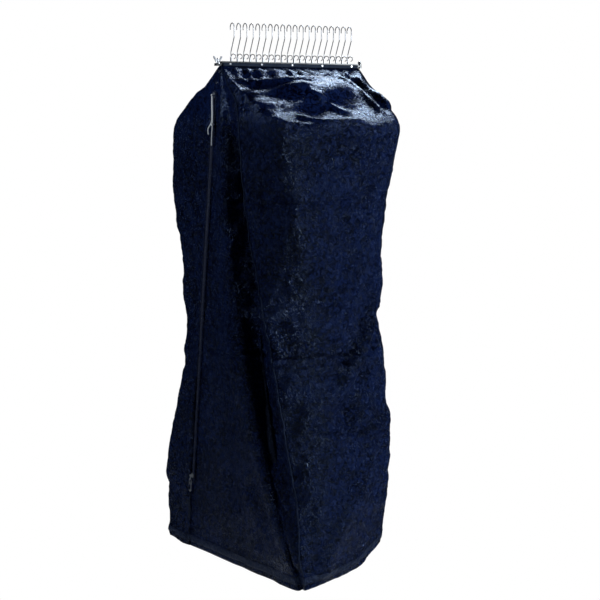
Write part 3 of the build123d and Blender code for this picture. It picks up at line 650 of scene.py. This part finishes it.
# nothing moves at the ridge, and the zipper stays straight on its panel
hold_top = np.clip(row_f / 0.05, 0, 1)[:, None]
push = push * hold_top * (1 - near("zip", 5)[None, :] * 0.95)
P = P + N * push[..., None]
lock = near("zip", 5.0)[None, :] ** 1.5
zip_col = COLS_OF["zip"]
on_zip = np.stack([np.full(ROWS, -HALF_X + 0.4), zip_y(P[:, zip_col, 2]), P[:, zip_col, 2]], 1)
P = P + lock[..., None] * (on_zip - P[:, zip_col])[:, None, :]

# the panel lies flat under the flap, just inside the plane of the zipper
under_flap = np.exp(-(((P[..., 1] - 20) / 34) ** 4) - (((P[..., 2] + 128) / 50) ** 4)) * (P[..., 0] < 0)
P[..., 0] += under_flap * (np.maximum(P[..., 0], -HALF_X + 0.3) - P[..., 0])

# the shell stays inside the room that cloth may take past the frame
ROOM_FRONT, ROOM_BACK, ROOM_LEFT, ROOM_RIGHT = 24, 25, 39, 28
P[..., 1] = np.clip(P[..., 1], -HALF_Y - ROOM_FRONT, HALF_Y + ROOM_BACK)
P[..., 0] = np.clip(P[..., 0], -HALF_X - ROOM_LEFT, HALF_X + ROOM_RIGHT)

# ---------------------------------------------------------------- pieces of the shell
SEAM = COLS_OF["zip"]
RIGHT_SEAM = COLS_OF["right_mid"]
CLOTH_THICK = 1.2


def thick_piece(name, rows, cols, nodes):
    """A sheet of the shell between two columns, with its lining on the inside."""
    outer = P[np.ix_(rows, cols)]
    normal = normals(P)[np.ix_(rows, cols)] * sign
    inner = outer - normal * CLOTH_THICK
    r, c = len(rows), len(cols)
    points = np.concatenate([outer.reshape(-1, 3), inner.reshape(-1, 3)])
    faces = grid_faces(r, c, flip=FLIP)
    shift = r * c
    inner_faces = [tuple(shift + k for k in f[::-1]) for f in faces]
    rim = []
    border = (
        [(0, j) for j in range(c)]
        + [(i, c - 1) for i in range(1, r)]
        + [(r - 1, j) for j in range(c - 2, -1, -1)]
        + [(i, 0) for i in range(r - 2, 0, -1)]
    )
    ids = [i * c + j for i, j in border]
    for a, b in zip(ids, ids[1:] + ids[:1]):
        quad = (a, b, b + shift, a + shift)
        rim.append(quad if FLIP else quad[::-1])
    obj = make_object(name, points, faces + inner_faces + rim, "bag_cloth")
    obj.data.materials.append(LINING)
    material = np.zeros(len(obj.data.polygons), np.int32)
    material[len(faces) : 2 * len(faces)] = 1
    obj.data.polygons.foreach_set("material_index", material)
    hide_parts(*nodes)
    return obj


raw = normals(P)
mid = ROWS // 2
sign = 1.0 if ((P[mid] - P[mid].mean(0)) * raw[mid]).sum() > 0 else -1.0
FLIP = sign > 0
all_rows = np.arange(ROWS)
front_cols = np.arange(SEAM, RIGHT_SEAM + 1)
back_cols = np.concatenate([np.arange(RIGHT_SEAM, COLS), np.arange(0, SEAM + 1)])
shell_front = thick_piece("shell_front", all_rows, front_cols, ["front_gusset", "left_panel_front"])
BACK_NODES = ["back_gusset", "left_panel_back", "right_end_panel"]
shell_back = thick_piece("shell_back", all_rows, back_cols, BACK_NODES)
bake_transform(shell_front)
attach(shell_back, "bag")

# the bottom panel closes the last loop and sags between the seams
loop = P[-1]
centre = loop.mean(0)
RINGS = 26
rings = []
for k in range(RINGS + 1):
    t = k / RINGS
    ring = centre + (loop - centre) * (1 - t)
    ring[:, 2] = loop[:, 2] * (1 - t) ** 2 + (1 - (1 - t) ** 2) * (BOTTOM_Z + 8) - 6 * math.sin(math.pi * t)
    ring[:, 2] = np.maximum(ring[:, 2], BOTTOM_Z - 14)
    rings.append(ring)
bottom_points = np.concatenate(rings)
bottom_faces = grid_faces(RINGS + 1, COLS, closed=True, flip=FLIP)
bottom = make_object("bottom_cloth", bottom_points, bottom_faces, "bag_cloth")
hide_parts("bottom_panel")
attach(bottom, "bag")

# ---------------------------------------------------------------- small mesh builders
NORMALS = normals(P) * sign
THREAD = Nodes("thread_mat")
THREAD.colour(THREAD.mix(THREAD.noise(900.0), (0.004, 0.006, 0.016), (0.014, 0.018, 0.04)))
THREAD.set(Roughness=0.6)
THREAD.bump((THREAD.wave(900.0, "DIAGONAL"), 0.5, 0.0002))
THREAD = THREAD.material


def frames_along(path):
    """Unit directions and two cross directions at every point of a path."""
    d = np.gradient(path, axis=0)
    d /= np.linalg.norm(d, axis=1, keepdims=True) + 1e-12
    side = np.empty_like(d)
    up = np.array([0.31, 0.17, 0.93]) if abs(d[0, 2]) < 0.8 else np.array([0.9, 0.3, 0.1])
    for i, t in enumerate(d):
        up = up - t * (up @ t)
        up /= np.linalg.norm(up)
        side[i] = up
    return d, side, np.cross(d, side)


def tube_mesh(path, radius, sides=10, flat=1.0):
    """Points and faces of a closed tube; radius is a number or one per point."""
    path = np.asarray(path, float)
    _, a, b = frames_along(path)
    r = np.broadcast_to(np.asarray(radius, float), (len(path),))[:, None, None]
    turn = np.arange(sides) * 2 * math.pi / sides
    ring = a[:, None] * np.cos(turn)[None, :, None] + flat * b[:, None] * np.sin(turn)[None, :, None]
    points = (path[:, None] + r * ring).reshape(-1, 3)
    faces = grid_faces(len(path), sides, closed=True, flip=True)
    faces.append(tuple(range(sides)))
    faces.append(tuple(len(points) - 1 - k for k in range(sides)))
    return points, faces


def merge(pieces):
    """One list of points and faces from several."""
    points, faces, at = [], [], 0
    for p, f in pieces:
        points.append(p)
        faces += [tuple(at + k for k in face) for face in f]
        at += len(p)
    return np.concatenate(points), faces


def slab(outer, normal, thick, rim=0.6):
    """A closed sheet from a grid of outer points, thick millimetres deep, with a softened rim."""
    r, c = outer.shape[:2]
    edge = np.ones((r, c))
    edge[[0, -1], :] = 0
    edge[:, [0, -1]] = 0
    top = outer - normal * ((1 - edge) * thick * rim)[..., None]
    low = outer - normal * thick
    points = np.concatenate([top.reshape(-1, 3), low.reshape(-1, 3)])
    faces = grid_faces(r, c, flip=FLIP)
    shift = r * c
    back = [tuple(shift + k for k in f[::-1]) for f in faces]
    ring = [j for j in range(c)] + [i * c + c - 1 for i in range(1, r)]
    ring += [(r - 1) * c + j for j in range(c - 2, -1, -1)] + [i * c for i in range(r - 2, 0, -1)]
    sides = []
    for a, b in zip(ring, ring[1:] + ring[:1]):
        quad = (a, b, b + shift, a + shift)
        sides.append(quad if FLIP else quad[::-1])
    return points, faces + back + sides


def resample(path, step):
    """Points spaced evenly along a path."""
    path = np.asarray(path, float)
    run = np.concatenate([[0], np.cumsum(np.linalg.norm(np.diff(path, axis=0), axis=1))])
    at = np.arange(0, run[-1], step)
    return np.stack([np.interp(at, run, path[:, k]) for k in range(3)], 1)


def stitches(path, out, length=2.6, gap=1.4, radius=0.34):
    """Thread stitches along a path, each a little capsule sunk at both ends. out is the way off the cloth."""
    even = resample(path, (length + gap) / 6)
    outs = np.broadcast_to(np.asarray(out, float), (len(path), 3))
    run = np.linspace(0, 1, len(path))
    at = np.linspace(0, 1, len(even))
    outs = np.stack([np.interp(at, run, outs[:, k]) for k in range(3)], 1)
    pieces = []
    lift = np.array([-0.25, 0.12, 0.28, 0.12, -0.25])
    for k in range(0, len(even) - 5, 6):
        middle = even[k : k + 5] + outs[k : k + 5] * lift[:, None]
        pieces.append(tube_mesh(middle, [radius * 0.5, radius, radius, radius, radius * 0.5], 6))
    return merge(pieces)


def thread_object(name, pieces, body):
    """One object of stitches; body "front" leaves it unattached in world place, like the front of the shell, and
    any other body attaches it.
    """
    points, faces = merge(pieces)
    obj = make_object(name, points, faces, "binding_cloth", material=THREAD)
    if body == "front":
        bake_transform(obj)
    else:
        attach(obj, body)
    return obj


def shell_line(name, out, rows):
    """The line of a landmark's column on the shell, moved out along its normals."""
    c = COLS_OF[name]
    return P[rows, c] + NORMALS[rows, c] * out


# ---------------------------------------------------------------- piping along the end panels
PIPING_RADIUS = 1.9
HEM_LOW, HEM_HIGH = BOTTOM_Z + 16.0, BOTTOM_Z + 36.0
above_hem = all_rows[row_z > HEM_HIGH - 3]


def piping(name, landmark, nodes, front_side):
    """A corded edge down one landmark, which replaces the nodes named."""
    line = resample(shell_line(landmark, 0.5, above_hem), 3.5)
    points, faces = tube_mesh(line, PIPING_RADIUS, 10)
    obj = make_object(name, points, faces, "binding_cloth")
    if nodes:
        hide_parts(*nodes)
    if front_side:
        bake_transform(obj)
    else:
        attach(obj, "bag")
    return obj


piping("left_piping_front", "ridge", ["left_piping"], True)
piping("left_piping_back", "back_left", [], False)
piping("right_piping_front", "front_right", ["right_piping"], True)
piping("right_piping_back", "back_right", [], False)

# ---------------------------------------------------------------- hem band, stitched at both edges
hem_rows = all_rows[(row_z > HEM_LOW) & (row_z < HEM_HIGH)]
wrap = np.concatenate([np.arange(COLS), [0]])
hem_outer = P[np.ix_(hem_rows, wrap)] + NORMALS[np.ix_(hem_rows, wrap)] * 1.1
hem_points, hem_faces = slab(hem_outer, NORMALS[np.ix_(hem_rows, wrap)], 1.3)
HEM = cloth_material("hem_mat", (0.0020, 0.0042, 0.016), (0.0070, 0.0120, 0.040), (0.3, 0.45), 0.4)
hem = make_object("hem_cloth", hem_points, hem_faces, "binding_cloth", material=HEM)
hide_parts("hem_band")
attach(hem, "bag")
hem_lines = []
for r in (hem_rows[0], hem_rows[-1]):
    line = P[r, wrap] + NORMALS[r, wrap] * 1.25
    hem_lines.append(stitches(line, NORMALS[r, wrap], 3.2, 2.0))
thread_object("hem_stitches", hem_lines, "bag")

# ---------------------------------------------------------------- zipper
ZIP_OUT = np.array([-1.0, 0.0, 0.0])
ZIP_SIDE = np.array([0.0, zip_dir[2], -zip_dir[1]])  # towards the front of the bag


def zip_at(along_it, across=0.0, out=0.0):
    """A point by its place along, across and out from the zipper."""
    along_it = np.asarray(along_it, float)[..., None]
    across = np.asarray(across, float)[..., None]
    out = np.asarray(out, float)[..., None]
    return ZIP_TOP + zip_dir * along_it + ZIP_SIDE * across + ZIP_OUT * out


def zip_strip(name, low, high, thick, height, slot, node, waves=0.0):
    """A strip along the zipper, from one distance across it to another."""
    a = np.arange(0, ZIP_LENGTH + 1, 4.0)
    c = np.linspace(low, high, 5)
    A, C = np.meshgrid(a, c, indexing="ij")
    crown = height + waves * np.sin(A / 7.0) * 0.3 + 0.12 * np.sin(math.pi * (C - low) / (high - low))
    outer = zip_at(A, C, crown)
    points, faces = slab(outer, np.broadcast_to(ZIP_OUT, outer.shape), thick)
    if (high - low) * (1 if FLIP else -1) > 0:
        faces = [f[::-1] for f in faces]
    obj = make_object(name, points, faces, slot)
    if node:
        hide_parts(node)
    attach(obj, "bag")
    return obj


zip_strip("zip_tape_front", 2.6, 9.5, 0.5, 0.25, "zipper_tape", "zipper_tape_front")
zip_strip("zip_tape_back", -9.5, -2.6, 0.5, 0.25, "zipper_tape", "zipper_tape_back")
zip_strip("zip_welt_front", 8.0, 15.0, 1.4, 1.3, "bag_cloth", None, 0.4)
zip_strip("zip_welt_back", -15.0, -8.0, 1.4, 1.3, "bag_cloth", None, 0.4)

TOOTH_PITCH = 2.3
tooth_pieces = []
for k in range(int((ZIP_LENGTH - 9) / TOOTH_PITCH)):
    at = 4.5 + k * TOOTH_PITCH
    side = 1 if k % 2 else -1
    across = np.array([2.9, 1.9, 0.4, -0.9, -1.3]) * side
    out = np.array([0.0, 0.35, 0.42, 0.35, 0.1])
    tooth_pieces.append(tube_mesh(zip_at(at, across, out), [0.5, 0.78, 0.82, 0.9, 0.5], 6, 0.62))
points, faces = merge(tooth_pieces)
teeth = make_object("zip_teeth", points, faces, "zipper_teeth")
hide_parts("zipper_chain")
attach(teeth, "bag")
zip_lines = [
    stitches(zip_at(np.linspace(2, ZIP_LENGTH - 2, 300), across, 1.42), ZIP_OUT, 2.8, 1.6)
    for across in (9.6, -9.6, 13.4, -13.4)
]
thread_object("zip_stitches", zip_lines, "bag")

# ---------------------------------------------------------------- flap over the top of the zipper
FLAP_LEAN = math.atan2(ZIP_TOP[1], RIDGE_Z - ZIP_TOP[2])
FLAP_TOP = np.array([-HALF_X, 2.0, RIDGE_Z - 2.5])
flap_down = np.array([0, math.sin(FLAP_LEAN), -math.cos(FLAP_LEAN)])
flap_side = np.array([0, -math.cos(FLAP_LEAN), -math.sin(FLAP_LEAN)])


def flap_at(along_it, across, out):
    """A point by its place along, across and out from the flap."""
    along_it = np.asarray(along_it, float)[..., None]
    across = np.asarray(across, float)[..., None]
    out = np.asarray(out, float)[..., None]
    return FLAP_TOP + flap_down * along_it + flap_side * across + ZIP_OUT * out


def flap_half(along_it):
    """Half the flap's width: a tongue that widens from the ridge, with a rounded end."""
    widening = 7 + 9 * np.clip((along_it - 5) / 19, 0, 1)
    rounding = np.sqrt(np.clip(1 - np.clip((along_it - 53) / 7.2, 0, 1) ** 2, 0.02, 1))
    return widening * (0.62 + 0.38 * rounding) * (0.75 + 0.25 * np.clip((along_it - 4.6) / 3, 0, 1))


rounded_end = 60 - 7 * np.cos(np.linspace(0, math.pi / 2, 9))
a = np.concatenate([[5, 5.6, 6.6], np.arange(8, 53, 1.5), rounded_end])
a = np.unique(np.round(a, 3))
t = np.linspace(-1, 1, 23)
A, T = np.meshgrid(a, t, indexing="ij")
rise = 0.9 - 0.35 * np.abs(T) ** 5 + 0.06 * np.sin(A / 5.0 + T * 2)
outer = flap_at(A, T * flap_half(A), rise)
points, faces = slab(outer, np.broadcast_to(ZIP_OUT, outer.shape), 0.9)
if not FLIP:
    faces = [f[::-1] for f in faces]
flap = make_object("flap_cloth", points, faces, "bag_cloth")
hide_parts("top_flap")
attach(flap, "bag")
inner = a[(a > 7) & (a < 58)]
near_edge = flap_at(inner, 0.84 * flap_half(inner), 0.95)
far_edge = flap_at(inner[::-1], -0.84 * flap_half(inner[::-1]), 0.95)
edge_line = np.concatenate([near_edge, far_edge])
thread_object("flap_stitches", [stitches(edge_line, ZIP_OUT, 2.2, 1.3, 0.3)], "bag")

# ---------------------------------------------------------------- headers under the clamp bars
def header(name, node, body, side):
    """The cloth edge turned up over the outside of a clamp bar and riveted to it."""
    low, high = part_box(node)
    low, high = np.array(low) / MM, np.array(high) / MM
    face = high[1] if side > 0 else low[1]
    x = np.arange(low[0] - 3, high[0] + 3.01, 3.0)
    z = np.array([*(low[2] + np.array([-1.5, 0.6, 2.5, 5])), *(high[2] - np.array([2, 0.8, 0.2]))])
    Xg, Zg = np.meshgrid(x, z, indexing="xy")
    ripple_y = 0.16 * np.sin(Xg / 9.0 + 0.4) + 0.1 * np.sin(Xg / 3.7)
    Yg = face - side * (0.05 + np.clip((Zg - high[2] + 0.9) / 0.9, 0, 1) * 0.5) + side * ripple_y * 0.5
    outer = np.stack([Xg, Yg, Zg + 0.25 * np.sin(Xg / 14.0)], -1)
    points, faces = slab(outer, np.broadcast_to(np.array([0.0, side, 0.0]), outer.shape), 1.6)
    if (side < 0) == FLIP:
        faces = [f[::-1] for f in faces]
    obj = make_object(name, points, faces, "binding_cloth", material=WEBBING)
    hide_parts(node)
    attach(obj, body)
    line = np.stack([x[1:-1], np.full(len(x) - 2, face + side * 0.1), np.full(len(x) - 2, high[2] - 1.8)], 1)
    thread_object(name + "_stitches", [stitches(line, (0, side, 0), 2.6, 1.6)], body)


header("header_front", "front_header", "front_clamp", -1)
header("header_back", "back_header", "bag", 1)

# ---------------------------------------------------------------- pull cord, hung double from the slider
CORD_DIAMETER = 3.2
LONG_ROUTE = (
    (0, -1.7, -2.8), (-0.6, -2.3, -24), (0.3, -2.0, -50), (-0.3, -1.6, -78), (-1.8, 0.6, -104),
    (-1.0, 4.6, -133),
)
SHORT_ROUTE = (
    (0, 1.7, -2.8), (-0.6, 1.7, -24), (0.3, 2.0, -50), (-0.8, 3.2, -74), (-4.5, 12, -83), (-7, 16, -93),
    (-6, 13, -104),
)


def cord_curve(name, route, node):
    """A braided strand along a route of offsets from the slider's eye."""
    data = bpy.data.curves.new(name, "CURVE")
    data.dimensions = "3D"
    spline = data.splines.new("NURBS")
    spline.points.add(len(route) - 1)
    for point, offset in zip(spline.points, route):
        point.co = (*((EYE + np.array(offset, float)) * MM), 1.0)
    spline.order_u = 3
    spline.use_endpoint_u = True
    spline.resolution_u = 16
    data.bevel_depth = CORD_DIAMETER / 2 * MM
    data.bevel_resolution = 6
    data.use_fill_caps = True
    data.materials.append(MATERIALS["cord_white"])
    obj = bpy.data.objects.new(name, data)
    scene.collection.objects.link(obj)
    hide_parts(node)
    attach(obj, "pull_cord")
    return obj


scene = bpy.context.scene
cord_long = cord_curve("cord_long", LONG_ROUTE, "pull_cord_long")
cord_short = cord_curve("cord_short", SHORT_ROUTE, "pull_cord_short")
eye_axis = np.array(joint["pull_cord_swing"]["axis"], float)
turns = np.linspace(0, 2 * math.pi, 33)
eye_a = np.array([-1.0, 0.0, 0.0])
eye_b = np.cross(eye_axis, eye_a)
loops = []
for offset in (-1.25, 1.25):
    spoke = np.cos(turns)[:, None] * eye_a + np.sin(turns)[:, None] * eye_b
    circle = EYE + eye_axis * offset + 2.12 * spoke
    loops.append(tube_mesh(circle, 1.18, 12))
points, faces = merge(loops)
cord_loop = make_object("cord_loop", points, faces, "cord_white")
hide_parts("cord_wrap")
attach(cord_loop, "pull_cord")
knot_centre = EYE + np.array([-0.3, 0.4, -78.0])
k = np.linspace(0, 2 * math.pi, 97)
trefoil = np.stack([np.sin(k) + 2 * np.sin(2 * k), -1.5 * np.sin(3 * k), np.cos(k) - 2 * np.cos(2 * k)], 1)
points, faces = tube_mesh(knot_centre + trefoil * 1.28, 1.62, 12)
knot = make_object("cord_knot", points, faces, "cord_white")
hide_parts("pull_knot")
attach(knot, "pull_cord")

# ---------------------------------------------------------------- camera, light, floor
scene.view_settings.view_transform = "Standard"
camera = bpy.data.objects.new("camera", bpy.data.cameras.new("camera"))
scene.collection.objects.link(camera)
scene.camera = camera
AZIMUTH = math.radians(27.5)
DISTANCE = 3.69
CAMERA_Z = -0.240
camera.location = (-DISTANCE * math.sin(AZIMUTH), -DISTANCE * math.cos(AZIMUTH), CAMERA_Z)
YAW = math.radians(27.89)
PITCH = math.radians(-7.65)
look = Vector((math.sin(YAW) * math.cos(PITCH), math.cos(YAW) * math.cos(PITCH), math.sin(PITCH)))
camera.rotation_euler = look.to_track_quat("-Z", "Y").to_euler()
camera.data.sensor_width = 36.0
camera.data.lens = 80.8
camera.data.clip_end = 60.0


def background(tree, colour, strength):
    node = tree.nodes.new("ShaderNodeBackground")
    node.inputs[0].default_value = (*colour, 1.0)
    node.inputs[1].default_value = strength
    return node


def studio_world():
    """White where the camera sees past the bag, and a dim blue light on everything else."""
    world = bpy.data.worlds.new("pale_world")
    world.use_nodes = True
    tree = world.node_tree
    tree.nodes.clear()
    out = tree.nodes.new("ShaderNodeOutputWorld")
    seen = background(tree, (1.0, 1.0, 1.0), 1.0)
    light = background(tree, (0.22, 0.38, 1.0), 0.028)
    path = tree.nodes.new("ShaderNodeLightPath")
    mix = tree.nodes.new("ShaderNodeMixShader")
    tree.links.new(path.outputs["Is Camera Ray"], mix.inputs[0])
    tree.links.new(light.outputs[0], mix.inputs[1])
    tree.links.new(seen.outputs[0], mix.inputs[2])
    tree.links.new(mix.outputs[0], out.inputs[0])
    return world


scene.world = studio_world()


def area_light(name, place, target, size, power, tint=(1.0, 1.0, 1.0)):
    """A square studio light at a place, turned to a target, in metres."""
    data = bpy.data.lights.new(name, "AREA")
    data.energy = power
    data.size = size
    data.color = tint
    obj = bpy.data.objects.new(name, data)
    scene.collection.objects.link(obj)
    obj.location = place
    obj.rotation_euler = (Vector(target) - Vector(place)).to_track_quat("-Z", "Y").to_euler()


area_light("key", (2.7, -2.9, 0.0), (0.0, 0.0, -1.0), 0.6, 200, (0.85, 0.93, 1.0))
area_light("top", (1.35, 1.3, 1.65), (0.1, -0.1, -0.2), 0.6, 56, (0.62, 0.78, 1.0))
area_light("fill", (-3.3, 0.3, 0.5), (0.0, 0.0, -0.75), 0.5, 52, (0.85, 0.93, 1.0))
area_light("back", (1.8, 3.4, 0.9), (0.0, 0.0, -0.7), 1.4, 60)

FLOOR_HALF = 1050
FLOOR_Z = -2150
floor_corners = [(x * FLOOR_HALF, y * FLOOR_HALF, FLOOR_Z) for x, y in ((-1, -1), (1, -1), (1, 1), (-1, 1))]
floor = make_object("floor", floor_corners, [(0, 1, 2, 3)], "bag_cloth")
floor_nodes = Nodes("floor_mat")
floor_nodes.colour(floor_nodes.mix(floor_nodes.noise(3.0, 2.0), (0.80, 0.80, 0.80), (0.84, 0.84, 0.84)))
floor_nodes.set(Roughness=0.9)
floor.data.materials.clear()
floor.data.materials.append(floor_nodes.material)
